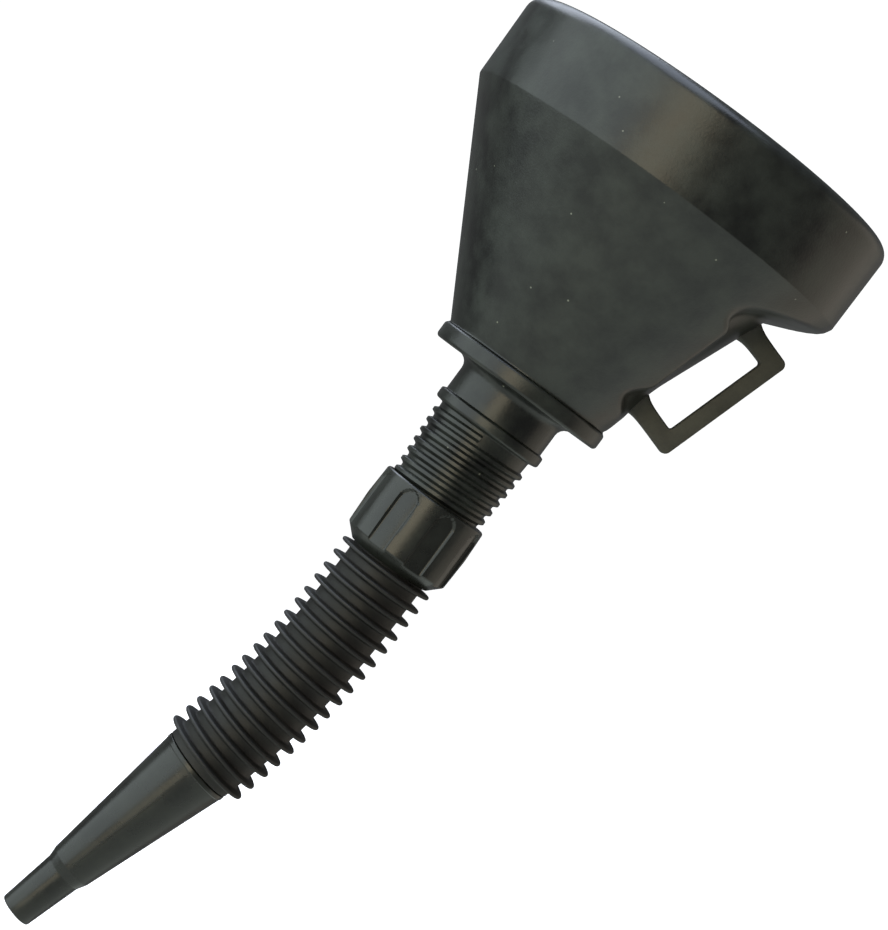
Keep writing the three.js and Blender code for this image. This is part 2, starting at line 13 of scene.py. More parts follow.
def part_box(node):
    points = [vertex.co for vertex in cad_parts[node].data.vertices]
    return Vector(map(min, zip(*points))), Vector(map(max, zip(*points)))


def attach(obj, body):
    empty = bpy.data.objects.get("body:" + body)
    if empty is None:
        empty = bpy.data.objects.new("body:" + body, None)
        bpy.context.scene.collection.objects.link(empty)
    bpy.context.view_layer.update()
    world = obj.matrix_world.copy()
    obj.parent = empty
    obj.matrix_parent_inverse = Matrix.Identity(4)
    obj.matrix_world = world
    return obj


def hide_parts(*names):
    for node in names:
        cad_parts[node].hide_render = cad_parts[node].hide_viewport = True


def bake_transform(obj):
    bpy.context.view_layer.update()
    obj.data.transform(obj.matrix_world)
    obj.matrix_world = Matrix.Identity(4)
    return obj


bl_info = {
    "name": "Workshop funnel",
    "version": (1, 0, 0),
    "blender": (4, 5, 0),
    "location": "View3D > Sidebar > Funnel",
    "description": "Makes a funnel with a hand grip, a strainer, a coupling nut and a bendable spout",
    "category": "Add Mesh",
}

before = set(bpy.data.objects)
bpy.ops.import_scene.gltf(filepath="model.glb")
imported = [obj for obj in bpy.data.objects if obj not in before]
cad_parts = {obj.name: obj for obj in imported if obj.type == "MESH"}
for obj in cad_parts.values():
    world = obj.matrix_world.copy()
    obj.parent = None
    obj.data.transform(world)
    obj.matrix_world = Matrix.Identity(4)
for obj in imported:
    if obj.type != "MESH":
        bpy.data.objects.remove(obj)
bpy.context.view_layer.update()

MM = 0.001
TURN = 2 * math.pi

# Places that follow from the frame
LIP_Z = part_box("bowl")[1].z
MOUTH_RADIUS = -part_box("bowl")[0].x
NECK_END_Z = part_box("outlet_neck")[0].z
NUT_TOP_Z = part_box("coupling_nut")[1].z
NUT_END_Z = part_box("coupling_nut")[0].z
FLANGE_TOP_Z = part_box("spout_flange")[1].z
FLANGE_END_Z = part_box("spout_flange")[0].z
STRAINER_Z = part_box("strainer_rim")[0].z
STRAINER_TOP_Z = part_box("strainer_rim")[1].z
STRAINER_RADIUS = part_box("strainer_rim")[1].x
GAUZE_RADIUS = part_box("strainer_gauze")[1].x

COLUMNS = 288  # points round the bowl
NUT_COLUMNS = 360  # points round the nut, so that its flutes are even
SMALL_COLUMNS = 96  # points round the spout's pieces
SHARP_ANGLE = math.radians(38)  # edges that turn more than this stay crisp
SEAM = 0.02 * MM  # between faces that meet inside a wall

made_materials = {}


def length(name, description, default):
    """A size in metres that a user can change."""
    return FloatProperty(name=name, description=description, default=default, unit="LENGTH", min=0)


def slope(name, description, degrees):
    """An angle that a user can change, given in degrees."""
    return FloatProperty(
        name=name, description=description, default=math.radians(degrees), unit="ROTATION"
    )


def linear(code):
    """Turns an sRGB colour such as "#3a3f3b" into linear red, green and blue."""
    shares = [int(code[i : i + 2], 16) / 255 for i in (1, 3, 5)]
    return [s / 12.92 if s <= 0.04045 else ((s + 0.055) / 1.055) ** 2.4 for s in shares]


def colour(name, description, code):
    """A colour that a user can change, given in sRGB."""
    return FloatVectorProperty(
        name=name, description=description, default=linear(code), subtype="COLOR", min=0, max=1
    )


class BowlSizes(bpy.types.PropertyGroup):
    wall: length("Wall", "Thickness of the moulded wall", 2 * MM)
    band_height: length("Band height", "From the crease to the lip", 34.6 * MM)
    band_draft: length("Band draft", "How much narrower the band is at its foot", 0.5 * MM)
    lip_round: length("Lip round", "Radius on which the lip turns inwards", 5.5 * MM)
    lip_flat: length("Lip flat", "Width of the flat top of the lip", 3 * MM)
    crease_round: length("Crease round", "Radius between the cone and the band", 1.4 * MM)
    cone_foot: length("Cone foot radius", "Outside of the cone at the collar", 34.3 * MM)
    collar_height: length("Collar height", "Height of the collar", 6.8 * MM)
    collar_radius: length("Collar radius", "Outside of the collar", 35.9 * MM)
    floor: length("Floor", "Thickness of the floor in the collar", 2.2 * MM)
    pocket_round: length("Pocket round", "How soft the pocket's edges are", 1.6 * MM)


class GripSizes(bpy.types.PropertyGroup):
    lean: slope("Lean", "Angle between the grip's bar and the bowl's axis", 17.5)
    low: length("Low end", "From the origin to the grip, along its bar", 30 * MM)
    length: length("Length", "Length of the grip along its bar", 55.9 * MM)
    reach: length("Reach", "From the origin to the outside of the bar", 51 * MM)
    bar: length("Bar width", "Width of the bar", 6.6 * MM)
    leg: length("Leg width", "Width of each leg", 7.6 * MM)
    depth: length("Depth", "Depth of the grip across the funnel", 8 * MM)
    corner: length("Corner", "Radius of the grip's outer corners", 2.6 * MM)
    edge: length("Edge", "Radius of the grip's edges", 0.8 * MM)
    flare: length("Flare", "How far each leg spreads at its root", 1.4 * MM)


class NeckSizes(bpy.types.PropertyGroup):
    radius: length("Radius", "Outside of the plain neck", 21.2 * MM)
    fillet: length("Fillet", "Radius under the collar", 4 * MM)
    bore_top: length("Top bore", "Radius of the outlet at the bowl's floor", 17 * MM)
    bore_end: length("End bore", "Radius of the outlet at its end", 15 * MM)
    stop_top: length("Stop", "From the origin down to the stop bead", 13.2 * MM)
    stop_height: length("Stop height", "Height of the stop bead", 4.5 * MM)
    stop_radius: length("Stop radius", "Outside of the stop bead", 22.8 * MM)
    thread_top: length("Thread start", "From the origin down to the thread's start", 21 * MM)
    thread_pitch: length("Thread pitch", "Rise of the thread in one turn", 4.25 * MM)
    thread_radius: length("Thread radius", "Outside of the thread at its start", 20.9 * MM)
    thread_depth: length("Thread depth", "Height of the thread above the neck", 1.6 * MM)
    thread_root: length("Thread root", "Width of the thread where it leaves the neck", 3.5 * MM)
    thread_taper: FloatProperty(
        name="Thread taper", description="Radius lost for each metre down the neck", default=0.0573
    )


class NutSizes(bpy.types.PropertyGroup):
    radius: length("Radius", "Outside of the nut half way up", 21.9 * MM)
    end_radius: length("End radius", "Outside of the nut at its top and above its chamfer", 21.4 * MM)
    chamfer: length("Chamfer", "Height of the chamfer at the foot", 4.6 * MM)
    top_round: length("Top round", "Radius of the nut's top edge", 1.1 * MM)
    flute_depth: length("Flute depth", "Depth of the flutes", 1.4 * MM)
    flute_width: length("Flute width", "Width of each flute at the nut's surface", 9.2 * MM)
    flute_top: length("Flute top", "From the nut's top edge to the flutes", 1.4 * MM)
    flutes: IntProperty(name="Flutes", description="Number of flutes round the nut", default=8)


class BellowsSizes(bpy.types.PropertyGroup):
    crests: IntProperty(name="Crests", description="Number of crests", default=17)
    pitch: length("Pitch", "From one crest to the next", 6 * MM)
    first_crest: length("First crest", "From the origin down to the first crest", 80 * MM)
    crest_radius: length("Crest radius", "Outside of each crest", 19.4 * MM)
    valley_radius: length("Valley radius", "Outside of the wall between crests", 15.3 * MM)
    bore: length("Bore", "Radius of the way through the bellows", 13.7 * MM)
    crest_thickness: length("Crest thickness", "Thickness of each crest at its edge", 1.3 * MM)
    crest_root: length("Crest root", "Thickness of each crest where it leaves the wall", 2.2 * MM)
    bend: slope("Bend", "How far the spout is bent as it rests", 15)
    bend_growth: FloatProperty(
        name="Bend growth", description="Above 1, the bend gets tighter towards the nozzle", default=1.3
    )


class NozzleSizes(bpy.types.PropertyGroup):
    length: length("Length", "Length of the nozzle", 86.6 * MM)
    gap: length("Gap", "From the last crest to the nozzle's top edge", 4.4 * MM)
    collar: length("Collar", "Height of the plain rim at the top", 1.8 * MM)
    taper: length("Taper", "From the top edge to the shoulder", 59.9 * MM)
    taper_end: length("Taper end", "Outside of the nozzle at the shoulder", 9.24 * MM)
    shoulder: length("Shoulder", "Height of the shoulder above the tip", 3.8 * MM)
    tip: length("Tip", "Outside of the tip at the shoulder", 8.04 * MM)
    tip_end: length("Tip end", "Outside of the tip at its end", 6.84 * MM)
    tip_bore: length("Tip bore", "Radius of the hole in the tip", 5.3 * MM)
    spigot: length("Spigot", "How far the bellows reach into the nozzle", 7.6 * MM)


class Finishes(bpy.types.PropertyGroup):
    textured: colour("Textured polyethylene", "Bowl", "#1c1f1c")
    # The grip's paler tone is painted light: its flat face catches more light than the bowl does.
    grip_painted_light: colour("Grip polyethylene with painted light", "Hand grip", "#3a3a33")
    smooth: colour("Smooth polyethylene", "Neck, nut and nozzle", "#1c1e1b")
    soft: colour("Soft polyethylene", "Bellows", "#161615")
    brass: colour("Brass", "Strainer's gauze", "#c9a350")
    floor: colour("Stage", "Floor and backdrop", "#f4f4f4")


class FunnelSettings(bpy.types.PropertyGroup):
    bowl: PointerProperty(type=BowlSizes)
    grip: PointerProperty(type=GripSizes)
    neck: PointerProperty(type=NeckSizes)
    nut: PointerProperty(type=NutSizes)
    bellows: PointerProperty(type=BellowsSizes)
    nozzle: PointerProperty(type=NozzleSizes)
    finishes: PointerProperty(type=Finishes)


# ---- Outlines: (radius, z) points ----


def rounded_corner(before, at, after, radius, steps):
    """Points on the arc that rounds the corner at, which lies between before and after."""
    corner = Vector(at)
    back = (Vector(before) - corner).normalized()
    ahead = (Vector(after) - corner).normalized()
    half = back.angle(ahead) / 2
    centre = corner + (back + ahead).normalized() * radius / math.sin(half)
    start = corner + back * radius / math.tan(half) - centre
    end = corner + ahead * radius / math.tan(half) - centre
    sweep = start.angle(end)
    side = (end - start * math.cos(sweep)) / math.sin(sweep)
    angles = [sweep * i / steps for i in range(steps + 1)]
    return [tuple(centre + start * math.cos(a) + side * math.sin(a)) for a in angles]


def rounded(corners, steps=4, closed=True):
    """An outline from (radius, z, rounding) corners. Those with no rounding stay sharp."""
    points = []
    for i, (radius, z, rounding) in enumerate(corners):
        end = not closed and i in (0, len(corners) - 1)
        if not rounding or end:
            points.append((radius, z))
            continue
        before = corners[i - 1][:2]
        after = corners[(i + 1) % len(corners)][:2]
        points += rounded_corner(before, (radius, z), after, rounding, steps)
    return points


def divided(points, spacing, closed=True):
    """The outline with more points, no further apart than spacing."""
    slack = 0.01  # of a part, so that an even length isn't divided once more
    ends = points[1:] + points[:1] if closed else points[1:]
    result = []
    for start, end in zip(points, ends):
        parts = max(1, math.ceil(math.dist(start, end) / spacing - slack))
        for i in range(parts):
            share = i / parts
            result.append(tuple(a + (b - a) * share for a, b in zip(start, end)))
    return result if closed else result + points[-1:]


def smooth_step(share):
    share = min(max(share, 0), 1)
    return share * share * (3 - 2 * share)


def soft_max(a, b, soft):
    """The larger value, with a smooth change-over that is soft wide."""
    overlap = max(soft - abs(a - b), 0) / soft
    return max(a, b) + overlap * overlap * soft / 4


def soft_min(a, b, soft):
    return -soft_max(-a, -b, soft)


# ---- Meshes: a skin is a list of rings of points. Its ends are joined to each other, or capped ----


def ring(radius, z, columns):
    """Points round the Z axis."""
    angles = [TURN * i / columns for i in range(columns)]
    return [Vector((radius * math.cos(a), radius * math.sin(a), z)) for a in angles]


def turned(outline, columns=SMALL_COLUMNS):
    """The skin of a ring with that closed outline."""
    return [ring(radius, z, columns) for radius, z in outline], True


def add_skin(mesh, skin):
    rings, joined = skin
    rows = [[mesh.verts.new(point) for point in points] for points in rings]
    following = rows[1:] + rows[:1] if joined else rows[1:]
    for row, after in zip(rows, following):
        for i in range(len(row)):
            j = (i + 1) % len(row)
            mesh.faces.new((row[i], row[j], after[j], after[i]))
    if not joined:
        mesh.faces.new(rows[0])
        mesh.faces.new(rows[-1])


def make(name, skins, material):
    """One object from closed skins, smooth except at sharp edges."""
    made = bmesh.new()
    for skin in skins:
        add_skin(made, skin)
    bmesh.ops.recalc_face_normals(made, faces=made.faces)
    mesh = bpy.data.meshes.new(name)
    made.to_mesh(mesh)
    made.free()
    mesh.shade_smooth()
    mesh.set_sharp_from_angle(angle=SHARP_ANGLE)
    mesh.materials.append(material)
    piece = bpy.data.objects.new(name, mesh)
    bpy.context.scene.collection.objects.link(piece)
    return piece


def moved(skin, matrix):
    rings, joined = skin
    return [[matrix @ point for point in points] for points in rings], joined


# ---- Materials ----


def add_node(tree, kind, sockets=None, **settings):
    """Adds a node. Sockets are values, or other nodes' outputs that are linked in."""
    new = tree.nodes.new(kind)
    for name, value in settings.items():
        setattr(new, name, value)
    for name, value in (sockets or {}).items():
        if isinstance(value, bpy.types.NodeSocket):
            tree.links.new(value, new.inputs[name])
        else:
            new.inputs[name].default_value = value
    return new


def new_material(name):
    """A material with nothing but its shader and output, and the piece's own coordinates in metres."""
    material = bpy.data.materials.new(name)
    material.use_nodes = True
    tree = material.node_tree
    place = add_node(tree, "ShaderNodeTexCoord").outputs["Object"]
    return material, tree, tree.nodes["Principled BSDF"], place


def noise(tree, place, size, detail, roughness=0.5):
    """Soft random spots, size across."""
    sockets = {"Vector": place, "Scale": 1 / size, "Detail": detail, "Roughness": roughness}
    return add_node(tree, "ShaderNodeTexNoise", sockets).outputs["Fac"]


def mapped(tree, value, **ends):
    """The value moved from one span to another, and held inside it."""
    sockets = {"Value": value, **{name.replace("_", " "): end for name, end in ends.items()}}
    return add_node(tree, "ShaderNodeMapRange", sockets).outputs["Result"]


def mixed(tree, share, first, second):
    """The colour that lies that share of the way from the first to the second."""
    sockets = {"Factor": share, "A": first, "B": second}
    return add_node(tree, "ShaderNodeMix", sockets, data_type="RGBA").outputs["Result"]


def dimmed(tone, share):
    """The colour at that share of its brightness, and opaque."""
    return [*(share * c for c in tone), 1]


def add_bump(tree, shader, height, depth):
    """Gives the shader a surface that is depth deep."""
    bump = add_node(tree, "ShaderNodeBump", {"Height": height, "Distance": depth})
    tree.links.new(bump.outputs["Normal"], shader.inputs["Normal"])


def polyethylene(name, tone, bloom, roughness, grain_size, grain_height):
    """Black polyethylene. A bloom of wax, in clouds 14 mm across, makes it greyer by up to that share and
    a little less glossy. Its grain is a bump of grain_size across and grain_height deep."""
    cloud_size = 14 * MM
    gloss_change = 0.12
    material, tree, shader, place = new_material(name)
    cloud = noise(tree, place, cloud_size, detail=4, roughness=0.6)
    clouds = mapped(tree, cloud, From_Min=0.35, From_Max=0.65)
    tones = mixed(tree, clouds, dimmed(tone, 1 - bloom), dimmed(tone, 1 + bloom))
    least = (1 - gloss_change) * roughness
    most = (1 + gloss_change) * roughness
    gloss = mapped(tree, clouds, To_Min=least, To_Max=most)
    tree.links.new(tones, shader.inputs["Base Color"])
    tree.links.new(gloss, shader.inputs["Roughness"])
    add_bump(tree, shader, noise(tree, place, grain_size, detail=2), grain_height)
    shader.inputs["IOR"].default_value = 1.51
    return material, tree, shader, place, tones


def spark_textured_polyethylene():
    """Moulded against a spark-eroded tool: an even fine grain that scatters the light softly. Its
    grain holds pale specks of dust, 0.7 mm across and about 11 mm apart."""
    tone = settings().finishes.textured
    material, tree, shader, place, tones = polyethylene(
        "spark_textured_polyethylene", tone, 0.65, 0.34, 0.9 * MM, 0.05 * MM
    )
    spacing = 11 * MM
    core = 0.25 * MM / spacing
    rim = 0.45 * MM / spacing
    dust = [*linear("#74776c"), 1]
    cells = add_node(
        tree, "ShaderNodeTexVoronoi", {"Vector": place, "Scale": 1 / spacing, "Randomness": 1}
    )
    specks = mapped(
        tree, cells.outputs["Distance"], From_Min=core, From_Max=rim, To_Min=1, To_Max=0
    )
    tree.links.new(mixed(tree, specks, tones, dust), shader.inputs["Base Color"])
    return material


def grip_polyethylene_with_painted_light():
    """The same moulding as the bowl, in a paler tone that is painted light: the grip's flat face turns to
    the camera and catches more light. It is rougher, so that it has hardly any gloss.
    """
    tone = settings().finishes.grip_painted_light
    return polyethylene("grip_polyethylene_painted_lighter", tone, 0.35, 0.6, 1.4 * MM, 0.06 * MM)[0]


def satin_polyethylene():
    """Moulded against a plainly polished tool: satin, with a faint unevenness."""
    tone = settings().finishes.smooth
    return polyethylene("satin_moulded_polyethylene", tone, 0.4, 0.28, 1.6 * MM, 0.03 * MM)[0]


def blown_polyethylene():
    """Soft polyethylene, blow moulded: dull and slightly waxy."""
    tone = settings().finishes.soft
    return polyethylene("blow_moulded_polyethylene", tone, 0.4, 0.62, 1.6 * MM, 0.04 * MM)[0]


def drawn_brass():
    """Drawn and woven brass wire: bright metal, with tarnish in patches 6 mm across."""
    material, tree, shader, place = new_material("drawn_brass_wire")
    tone = settings().finishes.brass
    patches = noise(tree, place, 6 * MM, detail=4)
    tones = mixed(tree, patches, dimmed(tone, 0.7), dimmed(tone, 1.15))
    tree.links.new(tones, shader.inputs["Base Color"])
    shader.inputs["Metallic"].default_value = 1
    shader.inputs["Roughness"].default_value = 0.32
    return material


def matte_paper():
    """Seamless studio paper: white, fibrous, without gloss. It glows as it does when lit from behind."""
    material, tree, shader, place = new_material("studio_paper")
    add_bump(tree, shader, noise(tree, place, 3 * MM, detail=2), 0.02 * MM)
    tone = [*settings().finishes.floor, 1]
    shader.inputs["Base Color"].default_value = tone
    shader.inputs["Emission Color"].default_value = tone
    shader.inputs["Emission Strength"].default_value = PAPER_GLOW
    shader.inputs["Roughness"].default_value = 0.95
    return material


def settings():
    return bpy.context.scene.funnel


def material(maker):
    """The material that maker makes, made once."""
    name = maker.__name__
    if name not in made_materials:
        made_materials[name] = maker()
    return made_materials[name]


def dress(piece, body, slot, *nodes):
    """The piece moves with that body, and stands for those nodes of the frame."""
    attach(piece, body)
    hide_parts(*nodes)


# ---- Bowl ----

# Hand pocket, pressed into the cone behind the grip: straight flanks, given as (x, z, slope)
POCKET_FOOT = (37.6 * MM, 26.5 * MM, math.tan(math.radians(7)))
POCKET_FLANK = (37.6 * MM, 26.5 * MM, math.tan(math.radians(16)))
POCKET_LEDGE = (79.5 * MM, 84.2 * MM, 1 / math.tan(math.radians(32.7)))
# Its back is a steeper cone with a bulge at its foot
KNUCKLE_FOOT = (34.3 * MM, 6.8 * MM, 0.344)
KNUCKLE_BULGE = (39.6 * MM, 28.6 * MM, 0.172)
KNUCKLE_BACK = (39.6 * MM, 28.6 * MM, math.tan(math.radians(22.1)))
POCKET_SIDE = 0.3  # cosine of the bearing from +X beyond which the pocket never reaches
# Hollows round the roots of the grip's legs, as (height, half height, depth)
SCOOPS = [(23 * MM, 8 * MM, 4.5 * MM), (72 * MM, 12 * MM, 10 * MM)]
SCOOP_SOFTNESS = 0.5  # how much wider the pocket's edge gets for each metre of hollow


def on_line(line, z, inset):
    """How far out the line is at z, once it is moved in by inset."""
    x, level, rise = line
    return x + rise * (z - level) - inset * math.hypot(1, rise)


def scoop(z):
    """How much deeper the pocket is at z, where it is scooped out round the grip's legs."""
    depth = 0
    for middle, half_height, most in SCOOPS:
        share = min(abs(z - middle) / half_height, 1)
        depth += most * (1 - share * share) ** 2
    return depth


def pocket_reach(z, inset, soft):
    low = soft_max(on_line(POCKET_FOOT, z, inset), on_line(POCKET_FLANK, z, inset), soft)
    return soft_max(low, on_line(POCKET_LEDGE, z, inset), soft) - scoop(z)


def knuckle_radius(z, inset, soft):
    foot = min(on_line(KNUCKLE_FOOT, z, inset), on_line(KNUCKLE_BULGE, z, inset))
    return soft_max(foot, on_line(KNUCKLE_BACK, z, inset), soft)


def pressed_in(radius, z, angle, inset, soft):
    """Radius of the cone's wall where the hand pocket may change it."""
    across = math.cos(angle)
    if across < POCKET_SIDE:
        return radius
    rim = soft + SCOOP_SOFTNESS * scoop(z)
    flat = soft_min(radius, pocket_reach(z, inset, soft) / across, rim)
    return min(soft_max(flat, knuckle_radius(z, inset, soft), soft), radius)


def cone_line(sizes):
    """The outside of the cone as (radius, z, slope)."""
    crease_z = LIP_Z - sizes.band_height
    crease_radius = MOUTH_RADIUS - sizes.band_draft
    rise = (crease_radius - sizes.cone_foot) / (crease_z - sizes.collar_height)
    return sizes.cone_foot, sizes.collar_height, rise


def bowl_outside(sizes):
    """From the lip's inner edge, over the lip and down to the collar's foot."""
    inner_lip = MOUTH_RADIUS - sizes.lip_round - sizes.lip_flat
    crease = (MOUTH_RADIUS - sizes.band_draft, LIP_Z - sizes.band_height)
    lip = rounded(
        [
            (inner_lip, LIP_Z - sizes.wall, 0),
            (inner_lip, LIP_Z, 0.7 * MM),
            (MOUTH_RADIUS, LIP_Z, sizes.lip_round),
            (*crease, 0),
        ],
        steps=10,
        closed=False,
    )
    rest = rounded(
        [
            lip[-2] + (0,),
            (*crease, sizes.crease_round),
            (sizes.cone_foot, sizes.collar_height, 0.5 * MM),
            (sizes.collar_radius, sizes.collar_height, 1.5 * MM),
            (sizes.collar_radius, 0, 1.5 * MM),
            (sizes.collar_radius - 4 * MM, 0, 0),
        ],
        steps=5,
        closed=False,
    )
    return divided(lip[1:-1] + rest[1:], 1.25 * MM, closed=False)


def neck_outside(neck):
    """From under the collar down to the end of the neck."""
    stop_end = neck.stop_top + neck.stop_height
    root_top = neck.thread_radius - neck.thread_depth
    root_end = thread_radius(neck, NECK_END_Z) - neck.thread_depth
    corners = [
        (neck.radius + 8 * MM, 0, 0),
        (neck.radius, 0, neck.fillet),
        (neck.radius, -neck.stop_top, 0.4 * MM),
        (neck.stop_radius, -neck.stop_top - 0.5 * MM, 0.9 * MM),
        (neck.stop_radius, -stop_end, 1.2 * MM),
        (root_top + 0.2 * MM, -stop_end - 0.6 * MM, 0.5 * MM),
        (root_end, NECK_END_Z, 0.4 * MM),
        (neck.bore_end, NECK_END_Z, 0),
    ]
    return divided(rounded(corners, steps=5, closed=False), 3 * MM, closed=False)


def bowl_inside(sizes, neck):
    """From the end of the outlet, up over the floor and the cone to the lip's inner edge."""
    radius, z, rise = cone_line(sizes)
    across = sizes.wall * math.hypot(1, rise)
    seat = radius - across
    band = MOUTH_RADIUS - sizes.band_draft - sizes.wall
    crease_z = z + (band - seat) / rise
    inner_lip = MOUTH_RADIUS - sizes.lip_round - sizes.lip_flat
    inner_top = LIP_Z - sizes.wall
    corners = [
        (neck.bore_end, NECK_END_Z + 0.5 * MM, 0),
        (neck.bore_top, sizes.floor, 0.6 * MM),
        (seat, sizes.floor, 0.6 * MM),
        (seat, z, 1.5 * MM),
        (band, crease_z, 1.5 * MM),
        (MOUTH_RADIUS - sizes.wall, inner_top, sizes.lip_round - sizes.wall),
        (inner_lip, inner_top, 0),
    ]
    return divided(rounded(corners, steps=5, closed=False), 2 * MM, closed=False)


def pressed_rings(outline, sizes, inset):
    """Rings of the bowl's wall, with the hand pocket pressed in between the collar and the band."""
    low = sizes.collar_height + 0.3 * MM
    high = LIP_Z - sizes.band_height + 1 * MM
    rings = []
    for radius, z in outline:
        plain = ring(radius, z, COLUMNS)
        if low < z < high:
            for i, point in enumerate(plain):
                pressed = pressed_in(radius, z, TURN * i / COLUMNS, inset, sizes.pocket_round)
                point.xy *= pressed / radius
        rings.append(plain)
    return rings


def thread_radius(neck, z):
    """Outside of the thread at that height."""
    return neck.thread_radius + neck.thread_taper * (z + neck.thread_top)


def thread_section(neck, angle, z):
    """A section through the ridge of the thread, with hollow flanks and a round crest."""
    points = 12
    crest_share = 0.32
    hollowness = 1.2
    sink = 0.5 * MM
    foot = thread_radius(neck, z) - neck.thread_depth
    section = [Vector((foot - sink, 0, z - neck.thread_root / 2))]
    for i in range(points + 1):
        side = 2 * i / points - 1
        rise = smooth_step((1 - abs(side)) / (1 - crest_share)) ** hollowness
        across = side * neck.thread_root / 2
        section.append(Vector((foot + neck.thread_depth * rise, 0, z + across)))
    section.append(Vector((foot - sink, 0, z + neck.thread_root / 2)))
    return [Matrix.Rotation(angle, 3, "Z") @ point for point in section]


def thread_skin(neck):
    """One ridge that winds down the neck, and starts square on the side that faces -Y."""
    steps = 72
    run = -NECK_END_Z - neck.thread_top - neck.thread_root / 2
    turns = run / neck.thread_pitch
    sections = []
    for i in range(round(turns * steps) + 1):
        angle = -TURN / 4 - TURN * i / steps
        z = -neck.thread_top - neck.thread_pitch * i / steps
        sections.append(thread_section(neck, angle, z))
    return sections, False


class FUNNEL_OT_bowl(bpy.types.Operator):
    """Make the bowl with its collar, pocket, neck and thread"""

    bl_idname = "funnel.bowl"
    bl_label = "Bowl"

    def execute(self, context):
        sizes = settings().bowl
        neck = settings().neck
        outside = pressed_rings(bowl_outside(sizes), sizes, 0)
        underneath = [ring(r, z, COLUMNS) for r, z in neck_outside(neck)]
        inside = pressed_rings(bowl_inside(sizes, neck), sizes, sizes.wall)
        wall = (outside + underneath + inside, True)
        bowl = make("bowl_moulding", [wall, thread_skin(neck)], material(spark_textured_polyethylene))
        dress(bowl, "bowl", "textured_polyethylene", "bowl", "outlet_neck")
        return {"FINISHED"}


# ---- Hand grip ----

GRIP_SECTION_STEPS = 4
LOWER_ROOT = 29.5 * MM  # how far out along each leg the bowl's wall is
UPPER_ROOT = 32.5 * MM


def grip_section(outer, inner, depth, edge):
    """A section with rounded edges between two points of the grip's plane, given as (along, out)."""
    width = (outer - inner).length
    across = (outer - inner) / width
    corners = [
        (-width / 2, -depth / 2, edge),
        (width / 2, -depth / 2, edge),
        (width / 2, depth / 2, edge),
        (-width / 2, depth / 2, edge),
    ]
    middle = (outer + inner) / 2
    points = rounded(corners, steps=GRIP_SECTION_STEPS)
    return [(middle + across * x, y) for x, y in points]


def spread(out, root, sizes):
    """How much a leg spreads near the bowl's wall."""
    reach = 2.5 * MM
    return sizes.flare * math.exp(-max(out - root, 0) / reach)


def leg(sizes, outer, inner, root, outs):
    """Sections along one leg, whose outer and inner sides are at those places along the bar."""
    away = 1 if outer > inner else -1
    sections = []
    for out in outs:
        extra = spread(out, root, sizes)
        ends = Vector((outer + away * extra, out)), Vector((inner - away * extra, out))
        sections.append(grip_section(*ends, sizes.depth + 2 * extra, sizes.edge + extra / 2))
    return sections


def corner_sections(sizes, outer_centre, inner_centre, start):
    """Sections round one corner of the grip, a quarter turn on from start."""
    steps = 8
    inner_round = sizes.corner / 2
    sections = []
    for i in range(steps + 1):
        angle = start - TURN / 4 * i / steps
        way = Vector((math.cos(angle), math.sin(angle)))
        outer = outer_centre + way * sizes.corner
        inner = inner_centre + way * inner_round
        sections.append(grip_section(outer, inner, sizes.depth, sizes.edge))
    return sections


def grip_sections(sizes):
    """The grip from its lower root, along the bar, to its upper root."""
    top = sizes.low + sizes.length
    corner_out = sizes.reach - sizes.corner
    inner_round = sizes.corner / 2
    inner_out = sizes.reach - sizes.bar - inner_round
    leg_steps = 10
    sunk = 3 * MM
    lower = [
        LOWER_ROOT - sunk + (inner_out - LOWER_ROOT + sunk) * i / leg_steps for i in range(leg_steps)
    ]
    upper = [
        inner_out + (UPPER_ROOT - sunk - inner_out) * (i + 1) / leg_steps for i in range(leg_steps)
    ]
    low_corner = corner_sections(
        sizes,
        Vector((sizes.low + sizes.corner, corner_out)),
        Vector((sizes.low + sizes.leg + inner_round, inner_out)),
        TURN / 2,
    )
    high_corner = corner_sections(
        sizes,
        Vector((top - sizes.corner, corner_out)),
        Vector((top - sizes.leg - inner_round, inner_out)),
        TURN / 4,
    )
    sections = leg(sizes, sizes.low, sizes.low + sizes.leg, LOWER_ROOT, lower)
    sections += low_corner
    sections += high_corner
    sections += leg(sizes, top, top - sizes.leg, UPPER_ROOT, upper)
    return sections


class FUNNEL_OT_grip(bpy.types.Operator):
    """Make the hand grip, a loop that is rooted in the bowl's wall"""

    bl_idname = "funnel.grip"
    bl_label = "Hand grip"

    def execute(self, context):
        sizes = settings().grip
        along = Vector((math.sin(sizes.lean), 0, math.cos(sizes.lean)))
        out = Vector((math.cos(sizes.lean), 0, -math.sin(sizes.lean)))
        rings = [
            [along * place.x + out * place.y + Vector((0, y, 0)) for place, y in section]
            for section in grip_sections(sizes)
        ]
        grip = make("hand_grip", [(rings, False)], material(grip_polyethylene_with_painted_light))
        dress(grip, "bowl", "textured_polyethylene", "handle")
        return {"FINISHED"}


# ---- Strainer ----

WIRE_PITCH = 1.8 * MM  # real gauze is 0.6 mm; drawn coarser so that the weave shows
WIRE_RADIUS = 0.19 * MM
WIRE_SIDES = 6


def wire(offset, phase, level, along_x):
    """One wire of the weave, which passes over and under those that it crosses."""
    steps_per_cross = 4
    reach = math.sqrt(GAUZE_RADIUS**2 - offset**2)
    steps = max(2, round(2 * reach / WIRE_PITCH * steps_per_cross))
    rings = []
    for i in range(steps + 1):
        place = -reach + 2 * reach * i / steps
        height = level + WIRE_RADIUS * math.cos(math.pi * place / WIRE_PITCH + phase)
        section = []
        for side in range(WIRE_SIDES):
            angle = TURN * side / WIRE_SIDES
            across = offset + WIRE_RADIUS * math.cos(angle)
            up = height + WIRE_RADIUS * math.sin(angle)
            section.append(Vector((place, across, up) if along_x else (across, place, up)))
        rings.append(section)
    return rings, False


